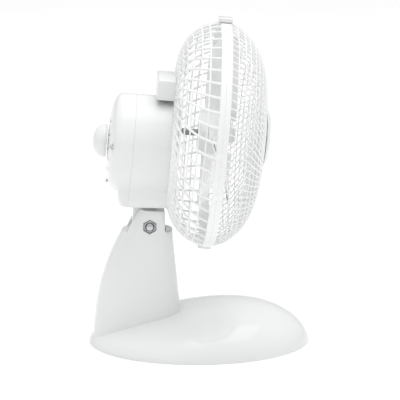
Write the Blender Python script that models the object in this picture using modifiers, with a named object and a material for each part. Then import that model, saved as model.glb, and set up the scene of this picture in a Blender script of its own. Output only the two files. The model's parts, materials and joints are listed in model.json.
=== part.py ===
"""Desk fan with a 23 cm blade, on a low domed base.

Units are metres, +Z is up, and the origin is on the ground at the middle of the base.
The fan blows towards -Y. The head tilts on a clevis bolt at the top of the column, the
blade and its shaft turn in the motor, the rear knob turns the speed switch, and two
hinged clips hold the front guard.
"""
import math

import bmesh
import bpy
from mathutils import Matrix

MM = 0.001
GAP = 0.3 * MM                      # clearance between pieces that touch
WALL = 2.5 * MM                     # wall of the moulded shells

# Stand
BASE_HALF_WIDTH = 96 * MM
BASE_HALF_LENGTH = 132 * MM
BASE_BOTTOM = 1.2 * MM              # the rim hovers on the rubber feet
PLATE_INSET = 9 * MM                # the bottom plate's edge, in from the rim
BASE_CROWN_FRONT = 52.5 * MM        # height of the dome's envelope at the front
BASE_CROWN_REAR = 32 * MM           # and at the rear
INLET_PLACE = (0.0291, 0.0790, 0.0360)  # the cord's inlet, low on the column's right side
INLET_LEAN = math.radians(2.9)      # the side wall leans inwards, and the inlet with it
COLUMN_FOOT_HEIGHT = 6 * MM
COLUMN_TOP = 138 * MM
PIVOT_Y = 59 * MM
PIVOT_Z = 146.5 * MM
EAR_INNER = 13 * MM
EAR_OUTER = 20 * MM

# Head, in the fan frame: x across, y up, z forward along the blade's axis, with the
# origin at the middle of the guard's rim.
HEAD_TILT = math.radians(5.25)      # nose down at rest
RIM_CENTRE_Y = -19 * MM
RIM_CENTRE_Z = 253 * MM
RIM_RADIUS = 133.5 * MM
BARREL_RADIUS = 58 * MM
BARREL_DROP = 18.6 * MM             # the barrel's centre lies below the blade's axis
BARREL_FRONT = -53.6 * MM
SEAM = -96 * MM                     # joint between the motor shell and the rear cover
SKIRT_HALF_WIDTH = 35 * MM
SKIRT_DEPTH = 70.4 * MM             # from the barrel's centre down to the flat bottom
BLADE_RADIUS = 115 * MM
BLADE_ROOT = 23.8 * MM               # the blades start inside the hub's wall
BLADE_COUNT = 3
SHAFT_RADIUS = 4 * MM

COLLECTION = bpy.data.collections.new("desk_fan")
CUTTERS = bpy.data.collections.new("cutters")


# ---------------------------------------------------------------- helpers

def clear_scene():
    for obj in list(bpy.data.objects):
        bpy.data.objects.remove(obj, do_unlink=True)
    bpy.context.scene.collection.children.link(COLLECTION)
    bpy.context.scene.collection.children.link(CUTTERS)


def make_material(name, colour, roughness, metallic=0.0):
    material = bpy.data.materials.new(name)
    material.use_nodes = True
    shader = material.node_tree.nodes["Principled BSDF"]
    shader.inputs["Base Color"].default_value = (*colour, 1.0)
    shader.inputs["Roughness"].default_value = roughness
    shader.inputs["Metallic"].default_value = metallic
    return material


def add_empty(name, parent=None, location=(0, 0, 0), rotation=(0, 0, 0)):
    empty = bpy.data.objects.new(name, None)
    COLLECTION.objects.link(empty)
    empty.parent = parent
    empty.location = location
    empty.rotation_euler = rotation
    return empty


def add_part(name, mesh, material, parent=None, location=(0, 0, 0), rotation=(0, 0, 0),
             smooth_angle=35):
    obj = bpy.data.objects.new(name, mesh)
    COLLECTION.objects.link(obj)
    obj.parent = parent
    obj.location = location
    obj.rotation_euler = rotation
    mesh.materials.append(material)
    mesh.shade_smooth()
    mesh.set_sharp_from_angle(angle=math.radians(smooth_angle))
    return obj


def to_mesh(name, bm):
    mesh = bpy.data.meshes.new(name)
    bm.to_mesh(mesh)
    bm.free()
    return mesh


def cutter(obj):
    """Turn an object into a hidden cutter."""
    COLLECTION.objects.unlink(obj)
    CUTTERS.objects.link(obj)
    obj.hide_render = True
    obj.display_type = "WIRE"
    return obj


def boolean(obj, tool, operation="DIFFERENCE"):
    modifier = obj.modifiers.new(tool.name, "BOOLEAN")
    modifier.operation = operation
    modifier.object = tool
    return obj


def bevel(obj, width, segments=2, angle=40):
    modifier = obj.modifiers.new("Bevel", "BEVEL")
    modifier.width = width
    modifier.segments = segments
    modifier.limit_method = "ANGLE"
    modifier.angle_limit = math.radians(angle)
    return obj


def profile_mesh(name, profile, closed):
    """A wire in the XZ plane from (radius, height) pairs, running down its outer side."""
    bm = bmesh.new()
    verts = [bm.verts.new((radius, 0, height)) for radius, height in profile]
    for start, end in zip(verts, verts[1:]):
        bm.edges.new((start, end))
    if closed:
        bm.edges.new((verts[-1], verts[0]))
    return to_mesh(name, bm)


def turned(name, profile, material, steps=20, closed=False, **place):
    """A solid of revolution about its own Z axis."""
    obj = add_part(name, profile_mesh(name, profile, closed), material, **place)
    screw = obj.modifiers.new("Screw", "SCREW")
    screw.steps = steps
    screw.render_steps = steps
    screw.use_merge_vertices = True
    screw.merge_threshold = 0.00001
    screw.use_smooth_shade = True
    return obj


def ring(name, inner, outer, low, high, material, steps=16, **place):
    profile = [(inner, high), (outer, high), (outer, low), (inner, low)]
    return turned(name, profile, material, steps, closed=True, **place)


def rod(name, radius, low, high, material, steps=12, chamfer=0.0, **place):
    profile = [(0, high), (radius - chamfer, high), (radius, high - chamfer),
               (radius, low + chamfer), (radius - chamfer, low), (0, low)]
    if chamfer == 0:
        profile = [(0, high), (radius, high), (radius, low), (0, low)]
    return turned(name, profile, material, steps, **place)


def box_mesh(name, centre, size):
    bm = bmesh.new()
    bmesh.ops.create_cube(bm, size=1)
    bmesh.ops.scale(bm, vec=size, verts=bm.verts)
    bmesh.ops.translate(bm, vec=centre, verts=bm.verts)
    return to_mesh(name, bm)


def box(name, centre, size, material, round_over=0.0, **place):
    obj = add_part(name, box_mesh(name, centre, size), material, **place)
    if round_over > 0:
        bevel(obj, round_over)
    return obj


def arc(centre, radius, start, end, count):
    """Points on an arc, angles in degrees."""
    points = []
    for index in range(count + 1):
        angle = math.radians(start + (end - start) * index / count)
        points.append((centre[0] + radius * math.cos(angle),
                       centre[1] + radius * math.sin(angle)))
    return points


def plate_mesh(name, outline, thickness):
    """A flat plate: a filled 2D curve in XY, extruded evenly along Z, as a welded mesh."""
    curve = bpy.data.curves.new(name, "CURVE")
    curve.dimensions = "2D"
    curve.fill_mode = "BOTH"
    curve.extrude = thickness / 2
    spline = curve.splines.new("POLY")
    spline.points.add(len(outline) - 1)
    for point, (x, y) in zip(spline.points, outline):
        point.co = (x, y, 0, 1)
    spline.use_cyclic_u = True
    source = bpy.data.objects.new(name, curve)
    COLLECTION.objects.link(source)
    depsgraph = bpy.context.evaluated_depsgraph_get()
    mesh = bpy.data.meshes.new_from_object(source.evaluated_get(depsgraph))
    bpy.data.objects.remove(source, do_unlink=True)
    bpy.data.curves.remove(curve)
    bm = bmesh.new()
    bm.from_mesh(mesh)
    bmesh.ops.remove_doubles(bm, verts=bm.verts, dist=0.000001)
    bmesh.ops.recalc_face_normals(bm, faces=bm.faces)
    bm.to_mesh(mesh)
    bm.free()
    mesh.name = name
    return mesh


def loft_mesh(name, sections, cap_start, cap_end):
    """Skin a list of closed sections that all have the same number of points."""
    bm = bmesh.new()
    rows = [[bm.verts.new(point) for point in section] for section in sections]
    count = len(rows[0])
    for lower, upper in zip(rows, rows[1:]):
        for index in range(count):
            after = (index + 1) % count
            bm.faces.new((lower[index], lower[after], upper[after], upper[index]))
    if cap_start:
        bm.faces.new(list(reversed(rows[0])))
    if cap_end:
        bm.faces.new(rows[-1])
    bmesh.ops.triangulate(bm, faces=[face for face in bm.faces if len(face.verts) > 4])
    return to_mesh(name, bm)


def solidify(obj, thickness):
    """Grow a wall inwards from an open surface whose faces point out."""
    modifier = obj.modifiers.new("Solidify", "SOLIDIFY")
    modifier.thickness = thickness
    modifier.offset = -1
    modifier.use_even_offset = True
    return obj


def screw(name, material, head_radius, head_height, radius, length, **place):
    """A pan-head screw: its head's seat is at z = 0 and its shank runs down."""
    profile = [(0, head_height), (0.7 * head_radius, head_height),
               (head_radius, 0.4 * head_height), (head_radius, 0), (radius, 0),
               (radius, -length)]
    profile.append((0, -length - radius))
    return turned(name, profile, material, 8, **place)


# ---------------------------------------------------------------- stand

def smoothstep(value):
    value = min(max(value, 0.0), 1.0)
    return value * value * (3 - 2 * value)


def base_height(x, y):
    """Height of the base's outer surface over its bottom edge."""
    rho = math.hypot(x / BASE_HALF_WIDTH, y / BASE_HALF_LENGTH)
    rise = smoothstep((0.115 - y) / 0.225)
    crown = BASE_CROWN_REAR + (BASE_CROWN_FRONT - BASE_CROWN_REAR) * rise
    return crown * max(0.0, 1 - rho ** 2.4) ** (1 / 1.8)


def base_sections(lift=0.0, count=40):
    """Rings of the dome from the rim to the crown, in normalised radius."""
    levels = (1.0, 0.985, 0.94, 0.85, 0.70, 0.50, 0.27)
    sections = []
    for level in levels:
        section = []
        for index in range(count):
            angle = 2 * math.pi * index / count
            x = level * BASE_HALF_WIDTH * math.cos(angle)
            y = level * BASE_HALF_LENGTH * math.sin(angle)
            section.append((x, y, BASE_BOTTOM + base_height(x, y) + lift))
        sections.append(section)
    return sections


def column_section(height, count=24, inset=0.0):
    """One level of the column: a long oval with full sides."""
    rise = max(0.0, (height - 0.010) / 0.127)
    flare = max(0.0, 1 - height / 0.040) ** 2
    rear = 0.1255 - 0.033 * rise ** 2.2 + 0.0035 * flare
    front = 0.0235 + 0.0085 * (height - 0.048) / 0.092
    half_width = 0.029 - 0.006 * (height - 0.020) / 0.120 - inset
    middle = (rear + front) / 2
    half_length = (rear - front) / 2 - inset
    power = 2 / 2.8
    section = []
    for index in range(count):
        angle = 2 * math.pi * index / count
        cosine = math.cos(angle)
        sine = math.sin(angle)
        across = math.copysign(abs(cosine) ** power, cosine)
        along = math.copysign(abs(sine) ** power, sine)
        section.append((half_width * across, middle + half_length * along, height))
    return section


def base_shell(material):
    sections = base_sections()
    mesh = loft_mesh("base_shell", sections, cap_start=False, cap_end=True)
    shell = solidify(add_part("base_shell", mesh, material, smooth_angle=60), WALL)
    tools = bmesh.new()
    for x, y, radius in column_screw_places():
        hole(tools, x, y, radius + GAP, 0, 0.080)
    hole(tools, 0, 0.075, 6 * MM, 0, 0.080)
    tool = add_part("base_holes", to_mesh("base_holes", tools), material)
    boolean(shell, cutter(tool))

    bosses = bmesh.new()
    threads = bmesh.new()
    for x, y in base_screw_places():
        top = BASE_BOTTOM + base_height(x, y) - 2 * MM
        hole(bosses, x, y, 3 * MM, 4.2 * MM, top, 12)
        hole(threads, x, y, 1.8 * MM, 0, 15 * MM)
    tool = add_part("base_bosses", to_mesh("base_bosses", bosses), material)
    boolean(shell, cutter(tool), "UNION")
    boolean(shell, cutter(add_part("boss_holes", to_mesh("boss_holes", threads), material)))


def hole(bm, x, y, radius, low, high, segments=10):
    """Add an upright cylinder to a tool's mesh."""
    matrix = Matrix.Translation((x, y, (low + high) / 2))
    bmesh.ops.create_cone(bm, segments=segments, radius1=radius, radius2=radius,
                          depth=high - low, cap_ends=True, matrix=matrix)


def column_screw_places():
    return [(0, 0.040, 0.0020), (0, 0.105, 0.0020)]


def column(material):
    heights = (COLUMN_FOOT_HEIGHT, 0.022, 0.045, 0.075, 0.105, 0.1365)
    sections = [column_section(height) for height in heights]
    sections.append(column_section(COLUMN_TOP, inset=0.0022))
    mesh = loft_mesh("column", sections, cap_start=False, cap_end=True)
    shell = solidify(add_part("column", mesh, material, smooth_angle=50), WALL)

    # A solid head under the clevis, so that its slot has a floor and walls.
    block_sections = [column_section(height, inset=1.2 * MM) for height in (0.120, 0.1365)]
    block_mesh = loft_mesh("column_head", block_sections, True, True)
    boolean(shell, cutter(add_part("column_head", block_mesh, material)), "UNION")
    for index, (x, y, radius) in enumerate(column_screw_places()):
        web_foot = base_height(0, y) * 0.5
        half_foot = 0.0235 if index == 0 else 0.0250
        web = [(-half_foot, web_foot), (half_foot, web_foot),
               (0.7 * half_foot, 0.080), (-0.7 * half_foot, 0.080)]
        mesh = plate_mesh("column_web", web, 6 * MM)
        tool = add_part(f"column_web_{index}", mesh, material, location=(0, y, 0),
                        rotation=(math.pi / 2, 0, 0))
        boolean(shell, cutter(tool), "UNION")

    ear = ear_outline()
    for side, label in ((-1, "left"), (1, "right")):
        mesh = plate_mesh("ear", ear, EAR_OUTER - EAR_INNER)
        middle = side * (EAR_INNER + EAR_OUTER) / 2
        tool = add_part(f"ear_{label}", mesh, material, location=(middle, 0, 0),
                        rotation=(math.pi / 2, 0, math.pi / 2))
        boolean(shell, cutter(tool), "UNION")

    slot = box("clevis_slot", (0, 0.0610, 0.1530), (2 * EAR_INNER, 0.0500, 0.0400), material)
    boolean(shell, cutter(slot))
    tools = bmesh.new()
    across = Matrix.Translation((0, PIVOT_Y, PIVOT_Z)) @ Matrix.Rotation(math.pi / 2, 4, "Y")
    bmesh.ops.create_cone(tools, segments=16, radius1=4.3 * MM, radius2=4.3 * MM,
                          depth=0.060, cap_ends=True, matrix=across)
    boolean(shell, cutter(add_part("bolt_hole", to_mesh("bolt_hole", tools), material)))
    tools = bmesh.new()
    for side in (-1, 1):
        seat = Matrix.Translation((side * 0.0220, 0, 0)) @ across
        bmesh.ops.create_cone(tools, segments=6, radius1=8.6 * MM, radius2=8.6 * MM,
                              depth=0.011, cap_ends=True, matrix=seat)
    boolean(shell, cutter(add_part("bolt_seats", to_mesh("bolt_seats", tools), material)))

    tools = bmesh.new()
    for x, y, radius in column_screw_places():
        hole(tools, x, y, radius + GAP, 0, base_height(x, y) + 0.022)
    hole(tools, 0, 0.075, 4 * MM, 0.110, 0.150)
    matrix = Matrix.Translation(INLET_PLACE) @ Matrix.Rotation(math.pi / 2 - INLET_LEAN, 4, "Y")
    bmesh.ops.create_cone(tools, segments=12, radius1=3.2 * MM, radius2=3.2 * MM,
                          depth=14 * MM, cap_ends=True, matrix=matrix)
    boolean(shell, cutter(add_part("column_holes", to_mesh("column_holes", tools), material)))

    seat = base_sections(lift=GAP)
    seat.insert(0, [(x, y, -0.010) for x, y, _ in seat[0]])
    seat_mesh = loft_mesh("column_seat", seat, True, True)
    boolean(shell, cutter(add_part("column_seat", seat_mesh, material)))
    return shell


def ear_outline():
    """Side view of a clevis ear: forward is -Y, up is Z."""
    outline = [(0.0410, 0.1300), (0.0410, 0.1600)]
    outline += arc((0.0425, 0.1610), 1.5 * MM, 180, 95, 3)
    outline += arc((0.0655, 0.1610), 5.0 * MM, 86, 10, 4)
    outline += [(0.0735, 0.1520), (0.0765, 0.1450), (0.0815, 0.1400), (0.0830, 0.1300)]
    return outline


def base_plate(material):
    profile = []
    for index in range(40):
        angle = 2 * math.pi * index / 40
        profile.append(((BASE_HALF_WIDTH - PLATE_INSET) * math.cos(angle),
                        (BASE_HALF_LENGTH - PLATE_INSET) * math.sin(angle)))
    mesh = plate_mesh("base_plate", profile, 2 * MM)
    plate = add_part("base_plate", mesh, material, location=(0, 0, 0.0028))
    tools = bmesh.new()
    for x, y in base_screw_places():
        hole(tools, x, y, 1.8 * MM, -0.010, 0.020)
    for x, y, _ in column_screw_places():
        hole(tools, x, y, 5 * MM, -0.010, 0.020)
    return boolean(plate, cutter(add_part("plate_holes", to_mesh("plate_holes", tools), material)))


def corner_places(x, y):
    return [("front_left", -x, -y), ("front_right", x, -y),
            ("rear_left", -x, y), ("rear_right", x, y)]


def base_screw_places():
    return [(x, y) for _, x, y in corner_places(0.060, 0.050)]


def base_furniture(rubber, steel, plastic):
    for label, x, y in corner_places(0.052, 0.082):
        rod(f"foot_{label}", 7 * MM, 0, 0.0015, rubber, 16, location=(x, y, 0))
    for label, x, y in corner_places(0.060, 0.050):
        screw(f"base_screw_{label}", steel, 3 * MM, 0.9 * MM, 1.5 * MM, 11 * MM,
              location=(x, y, 0.0015), rotation=(math.pi, 0, 0))
    for label, (x, y, radius) in zip(("front", "rear"), column_screw_places()):
        seat = BASE_BOTTOM + base_height(x, y) - 5.0 * MM
        screw(f"column_screw_{label}", steel, 4 * MM, 2.4 * MM, radius, 18 * MM,
              location=(x, y, seat), rotation=(math.pi, 0, 0))
    profile = [(0.0019, 0.0050), (0.0026, 0.0046), (0.0029, 0.0016), (0.0046, 0.0010),
               (0.0046, -0.0004), (0.0028, -0.0004), (0.0028, -0.0055), (0.0019, -0.0055)]
    turned("cord_inlet", profile, plastic, 12, closed=True,
           location=INLET_PLACE, rotation=(0, math.pi / 2 - INLET_LEAN, 0))


# ---------------------------------------------------------------- clevis

def clevis_hardware(steel, plastic):
    """The tilt bolt with its nut in the left recess; the nut's points face up and down."""
    along_x = (0, math.pi / 2, 0)
    pivot = {"location": (0, PIVOT_Y, PIVOT_Z), "rotation": along_x}
    bolt_profile = [(0, 0.0230), (0.0030, 0.0227), (0.0060, 0.0212), (0.0073, 0.0190),
                    (0.0073, 0.0182), (0.0040, 0.0182), (0.0040, -0.0235),
                    (0.0032, -0.0242), (0, -0.0242)]
    turned("tilt_bolt", bolt_profile, steel, 12, **pivot)
    bm = bmesh.new()
    matrix = Matrix.Translation((0, 0, -0.0200))
    bmesh.ops.create_cone(bm, segments=6, radius1=7.5 * MM, radius2=7.5 * MM,
                          depth=0.0042, cap_ends=True, matrix=matrix)
    nut = add_part("tilt_nut", to_mesh("tilt_nut", bm), steel, **pivot)
    bevel(nut, 0.5 * MM, 1)
    tool = rod("nut_bore", 4.3 * MM, -0.030, -0.010, steel, **pivot)
    boolean(nut, cutter(tool))
    ring("tilt_washer_left", 4.3 * MM, 7.4 * MM, -0.0176, -0.0168, steel, 12, **pivot)
    ring("tilt_washer_right", 4.3 * MM, 7.4 * MM, 0.0168, 0.0178, steel, 12, **pivot)
    ring("friction_disc_left", 4.3 * MM, 11 * MM, -0.0127, -0.0115, plastic, 16, **pivot)
    ring("friction_disc_right", 4.3 * MM, 11 * MM, 0.0115, 0.0127, plastic, 16, **pivot)


# ---------------------------------------------------------------- head frame

def pivot_in_fan_frame():
    """The tilt pivot's (up, forward) place in the fan frame."""
    back = PIVOT_Y - RIM_CENTRE_Y
    drop = PIVOT_Z - RIM_CENTRE_Z
    forward = -back * math.cos(HEAD_TILT) - drop * math.sin(HEAD_TILT)
    up = -back * math.sin(HEAD_TILT) + drop * math.cos(HEAD_TILT)
    return up, forward


def head_frame():
    """An empty on the tilt axis, and below it one whose origin is the rim's centre."""
    up, forward = pivot_in_fan_frame()
    tilt = add_empty("tilt_axis", None, (0, PIVOT_Y, PIVOT_Z), (math.pi / 2 + HEAD_TILT, 0, 0))
    return add_empty("fan_frame", tilt, (0, -up, -forward))


def housing_section(forward, radius, depth, count=32):
    """The motor housing across the fan's axis: a round barrel with a squarer skirt."""
    section = []
    for index in range(count):
        angle = 2 * math.pi * (index + 0.5) / count
        across = math.sin(angle)
        down = math.cos(angle)
        reach = radius
        if down > 0 and depth > radius:
            skirt = (abs(across) / SKIRT_HALF_WIDTH) ** 8 + (down / depth) ** 8
            reach = max(radius, skirt ** (-1 / 8))
        section.append((reach * across, -BARREL_DROP - reach * down, forward))
    return section


def tilt_lug(frame, material):
    """The tongue that hangs from the housing's floor into the clevis."""
    up, forward = pivot_in_fan_frame()
    outline = [(-21 * MM, 33 * MM), (-21 * MM, 1.5 * MM), (-18 * MM, -3 * MM)]
    outline += arc((0, 0), 12 * MM, 222, 360, 7)
    outline += [(9 * MM, 12 * MM), (9 * MM, 33 * MM)]
    mesh = plate_mesh("tilt_lug", outline, 22.4 * MM)
    mesh.transform(Matrix.Translation((0, up, forward)) @ Matrix.Rotation(-math.pi / 2, 4, "Y"))
    lug = add_part("tilt_lug", mesh, material, parent=frame)
    floor = -BARREL_DROP - SKIRT_DEPTH + WALL + GAP
    flange = box("lug_flange", (0, floor + 2 * MM, forward - 6 * MM),
                 (39 * MM, 4 * MM, 34 * MM), material, parent=frame)
    boolean(lug, cutter(flange), "UNION")
    bore = rod("lug_bore", 4.3 * MM, -0.020, 0.020, material, parent=frame,
               location=(0, up, forward), rotation=(0, math.pi / 2, 0))
    boolean(lug, cutter(bore))
    tools = bmesh.new()
    for side in (-1, 1):
        matrix = Matrix.Translation((side * 15.5 * MM, floor, forward - 6 * MM))
        matrix = matrix @ Matrix.Rotation(math.pi / 2, 4, "X")
        bmesh.ops.create_cone(tools, segments=12, radius1=1.9 * MM, radius2=1.9 * MM,
                              depth=30 * MM, cap_ends=True, matrix=matrix)
    holes = cutter(add_part("lug_screw_holes", to_mesh("lug_screw_holes", tools), material,
                            parent=frame))
    boolean(lug, holes)
    return holes


def motor_shell(frame, material, screw_holes):
    up, forward = pivot_in_fan_frame()
    sections = [housing_section(SEAM + GAP / 2, BARREL_RADIUS, SKIRT_DEPTH),
                housing_section(BARREL_FRONT - 3 * MM, BARREL_RADIUS, SKIRT_DEPTH),
                housing_section(BARREL_FRONT - 1 * MM, BARREL_RADIUS - 1 * MM,
                                SKIRT_DEPTH - 1 * MM),
                housing_section(BARREL_FRONT, BARREL_RADIUS - 3 * MM, SKIRT_DEPTH - 3 * MM)]
    mesh = loft_mesh("motor_shell", sections, cap_start=False, cap_end=True)
    shell = solidify(add_part("motor_shell", mesh, material, parent=frame), WALL)
    nose = ring("shell_nose", 17 * MM, 24.3 * MM, BARREL_FRONT - 2 * MM, -0.0415,
                material, parent=frame)
    boolean(shell, cutter(nose), "UNION")
    opening = rod("shell_opening", 21 * MM, -0.070, -0.030, material, 24, parent=frame)
    boolean(shell, cutter(opening))
    slot = box("lug_slot", (0, up + 0.024, forward - 6 * MM), (23.2 * MM, 12 * MM, 31 * MM),
               material, parent=frame)
    boolean(shell, cutter(slot))
    boolean(shell, screw_holes)
    tools = bmesh.new()
    for side in (-1, 1):
        matrix = Matrix.Translation((side * 27 * MM, 0, -0.056))
        bmesh.ops.create_cone(tools, segments=12, radius1=1.8 * MM, radius2=1.8 * MM,
                              depth=20 * MM, cap_ends=True, matrix=matrix)
    bracket_holes = cutter(add_part("bracket_holes", to_mesh("bracket_holes", tools), material,
                                    parent=frame))
    boolean(shell, bracket_holes)
    return bracket_holes


def rear_cover(frame, material):
    profile = [(-0.1252, 24, 0), (-0.1243, 36, 0), (-0.1220, 45, 0), (-0.1180, 52, 0),
               (-0.1130, 56.4, 0), (-0.1088, 58, 58.5), (-0.1060, 58, 65), (-0.1015, 58, 69.4),
               (-0.0985, 58, 70.4)]
    sections = [housing_section(s, radius * MM, depth * MM) for s, radius, depth in profile]
    sections.append(housing_section(SEAM - GAP / 2, BARREL_RADIUS, SKIRT_DEPTH))
    mesh = loft_mesh("rear_cover", sections, cap_start=True, cap_end=False)
    cover = solidify(add_part("rear_cover", mesh, material, parent=frame), WALL)
    tools = bmesh.new()
    for row in range(-2, 3):
        up = row * 14 * MM
        outer = math.sqrt(0.044 ** 2 - up ** 2)
        inner = 0.024 if abs(row) < 2 else 0.006
        for side in (-1, 1):
            centre = (side * (inner + outer) / 2, up - BARREL_DROP, -0.120)
            scale = Matrix.Diagonal((outer - inner, 3 * MM, 0.020, 1))
            bmesh.ops.create_cube(tools, size=1, matrix=Matrix.Translation(centre) @ scale)
    matrix = Matrix.Translation((0, -BARREL_DROP, -0.120))
    bmesh.ops.create_cone(tools, segments=16, radius1=3.6 * MM, radius2=3.6 * MM,
                          depth=20 * MM, cap_ends=True, matrix=matrix)
    for x, y, _ in cover_screw_places():
        matrix = Matrix.Translation((x, y, -0.110))
        bmesh.ops.create_cone(tools, segments=12, radius1=1.8 * MM, radius2=1.8 * MM,
                              depth=40 * MM, cap_ends=True, matrix=matrix)
    boolean(cover, cutter(add_part("cover_holes", to_mesh("cover_holes", tools), material,
                                   parent=frame)))


def cover_screw_places():
    """Across, up, and where each screw's head sits on the sloping face."""
    return [(-0.0495, 0.0045 - BARREL_DROP, -0.1214), (0.0495, 0.0045 - BARREL_DROP, -0.1214),
            (0, -0.0480 - BARREL_DROP, -0.1224)]


# ---------------------------------------------------------------- guards

def lattice_mesh(name, rows, ribs, rib_width, solid_bands, twist):
    """A guard's middle surface: rings of ribs, open between them except on solid bands.

    Each row is (forward, radius), from the rim to the hub. The twist turns the inner rows
    ahead of the outer ones, which slants the ribs.
    """
    outer = rows[0][1]
    bm = bmesh.new()
    grid = []
    for forward, radius in rows:
        turn = twist * (1 - radius / outer)
        grid.append([bm.verts.new((radius * math.cos(turn + 2 * math.pi * rib / ribs),
                                   radius * math.sin(turn + 2 * math.pi * rib / ribs),
                                   forward)) for rib in range(ribs)])
    cells = []
    for band, (near, far) in enumerate(zip(grid, grid[1:])):
        for rib in range(ribs):
            after = (rib + 1) % ribs
            face = bm.faces.new((near[rib], near[after], far[after], far[rib]))
            if band not in solid_bands:
                cells.append(face)
    bm.normal_update()
    bmesh.ops.inset_individual(bm, faces=cells, thickness=rib_width / 2, use_even_offset=True)
    bmesh.ops.delete(bm, geom=cells, context="FACES")
    return to_mesh(name, bm)


def guard(name, rows, ribs, rib_width, thickness, solid_bands, twist, frame, material):
    mesh = lattice_mesh(name, rows, ribs, rib_width, solid_bands, twist)
    obj = add_part(name, mesh, material, parent=frame)
    modifier = obj.modifiers.new("Solidify", "SOLIDIFY")
    modifier.thickness = thickness
    modifier.offset = 0
    return obj


def guards(frame, material):
    rear_rows = [(-0.0014, 0.1322), (-0.0054, 0.1322), (-0.0062, 0.1296), (-0.0240, 0.1240),
                 (-0.0400, 0.1085), (-0.0513, 0.0790), (-0.0520, 0.0370), (-0.0520, 0.0265)]
    guard("rear_guard", rear_rows, 20, 2.6 * MM, 2.2 * MM, (0, 1, 6), 0.0, frame, material)
    front_rows = [(0.0014, 0.1322), (0.0042, 0.1318), (0.0052, 0.1294), (0.0240, 0.1237),
                  (0.0400, 0.1110), (0.0520, 0.0820), (0.0562, 0.0370), (0.0566, 0.0090)]
    guard("front_guard", front_rows, 20, 2.2 * MM, 2.0 * MM, (0, 1, 6), math.radians(55),
          frame, material)


def guard_fittings(frame, material):
    ring("guard_nut", 24.7 * MM, 33 * MM, -0.0505, -0.0435, material, 24, parent=frame)
    profile = [(0, 0.0635), (0.0180, 0.0630), (0.0290, 0.0612), (0.0330, 0.0588),
               (0.0330, 0.0581), (0.0080, 0.0581), (0.0080, 0.0540), (0, 0.0540)]
    turned("badge", profile, material, 20, parent=frame)
    outline = [(-8.6, 138.4), (-8.6, 131.9), (-6.9, 131.9), (-6.9, 134.0), (5.6, 134.0),
               (5.6, 131.9), (7.4, 131.9), (7.4, 137.4), (6.4, 138.8), (-8.0, 138.8)]
    for side, label in ((1, "top"), (-1, "bottom")):
        hinge_up = 133.4 * MM
        hinge_forward = -7.7 * MM
        points = [(forward * MM - hinge_forward, up * MM - hinge_up) for forward, up in outline]
        mesh = plate_mesh(f"guard_clip_{label}", points, 16 * MM)
        mesh.transform(Matrix.Rotation(-math.pi / 2, 4, "Y"))
        if side < 0:
            mesh.transform(Matrix.Rotation(math.pi, 4, "Z"))
        add_part(f"guard_clip_{label}", mesh, material, parent=frame,
                 location=(0, side * hinge_up, hinge_forward))


def carry_grip(frame, material):
    """A hollow grip on the guard's back, open below, just above the housing."""
    low, high = 43.5 * MM, 64.3 * MM
    rear, front = -73.6 * MM, -53.6 * MM
    bm = bmesh.new()
    bmesh.ops.create_cube(bm, size=1)
    bmesh.ops.scale(bm, vec=(60 * MM, high - low, front - rear), verts=bm.verts)
    bmesh.ops.translate(bm, vec=(0, (low + high) / 2, (rear + front) / 2), verts=bm.verts)
    uprights = [edge for edge in bm.edges
                if abs(edge.verts[0].co.y - edge.verts[1].co.y) > 0.01]
    tops = [edge for edge in bm.edges if min(v.co.y for v in edge.verts) > high - 0.001]
    bmesh.ops.bevel(bm, geom=uprights + tops, offset=2.5 * MM, segments=2, affect="EDGES")
    below = [face for face in bm.faces if max(v.co.y for v in face.verts) < low + 0.0005]
    bmesh.ops.delete(bm, geom=below, context="FACES")
    grip = add_part("carry_grip", to_mesh("carry_grip", bm), material, parent=frame)
    solidify(grip, 2.4 * MM)


# ---------------------------------------------------------------- motor and switch

def motor(frame, steel, copper, plastic, bracket_holes):
    ring("stator_core", 20.6 * MM, 36 * MM, -0.0862, -0.0698, steel, 24, parent=frame)
    ring("winding_front", 21.5 * MM, 31.5 * MM, -0.0695, -0.0640, copper, 20, parent=frame)
    ring("winding_rear", 21.5 * MM, 31.5 * MM, -0.0935, -0.0865, copper, 20, parent=frame)
    front = [(8.3, -56.4), (36, -56.4), (36, -69.5), (33, -69.5), (33, -59.2), (12, -59.2),
             (12, -63.5), (8.3, -63.5)]
    rear = [(8.3, -92.5), (12, -92.5), (12, -95.2), (33, -95.2), (33, -86.5), (36, -86.5),
            (36, -98), (12, -98), (12, -101), (8.3, -101)]
    for label, points in (("front", front), ("rear", rear)):
        profile = [(radius * MM, forward * MM) for radius, forward in points]
        bracket = turned(f"end_bracket_{label}", profile, steel, 20, closed=True, parent=frame)
        if label == "front":
            boolean(bracket, bracket_holes)
    ring("bush_front", 4.3 * MM, 8 * MM, -0.0635, -0.0555, copper, 16, parent=frame)
    ring("bush_rear", 4.3 * MM, 8 * MM, -0.1012, -0.0925, copper, 16, parent=frame)
    for side, label in ((-1, "left"), (1, "right")):
        screw(f"bracket_screw_{label}", steel, 3.2 * MM, 1.8 * MM, 1.5 * MM, 3.9 * MM,
              parent=frame, location=(side * 27 * MM, 0, -0.0595), rotation=(math.pi, 0, 0))
    box("run_capacitor", (0, -0.0520, -0.0800), (36 * MM, 15 * MM, 24 * MM), plastic,
        1.2 * MM, parent=frame)
    profile = [(0.0033, -0.1075), (0.0120, -0.1075), (0.0120, -0.1205), (0.0070, -0.1205),
               (0.0070, -0.1215), (0.0033, -0.1215)]
    turned("speed_switch", profile, plastic, 16, closed=True, parent=frame,
           location=(0, -BARREL_DROP, 0))
    dome = [(0, -0.1110), (0.0030, -0.1110), (0.0030, -0.1266), (0.0189, -0.1266),
            (0.0195, -0.1288), (0.0188, -0.1325), (0.0162, -0.1370), (0.0116, -0.1405),
            (0.0060, -0.1423), (0, -0.1429)]
    turned("speed_knob", dome, plastic, 20, parent=frame, location=(0, -BARREL_DROP, 0))


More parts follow.
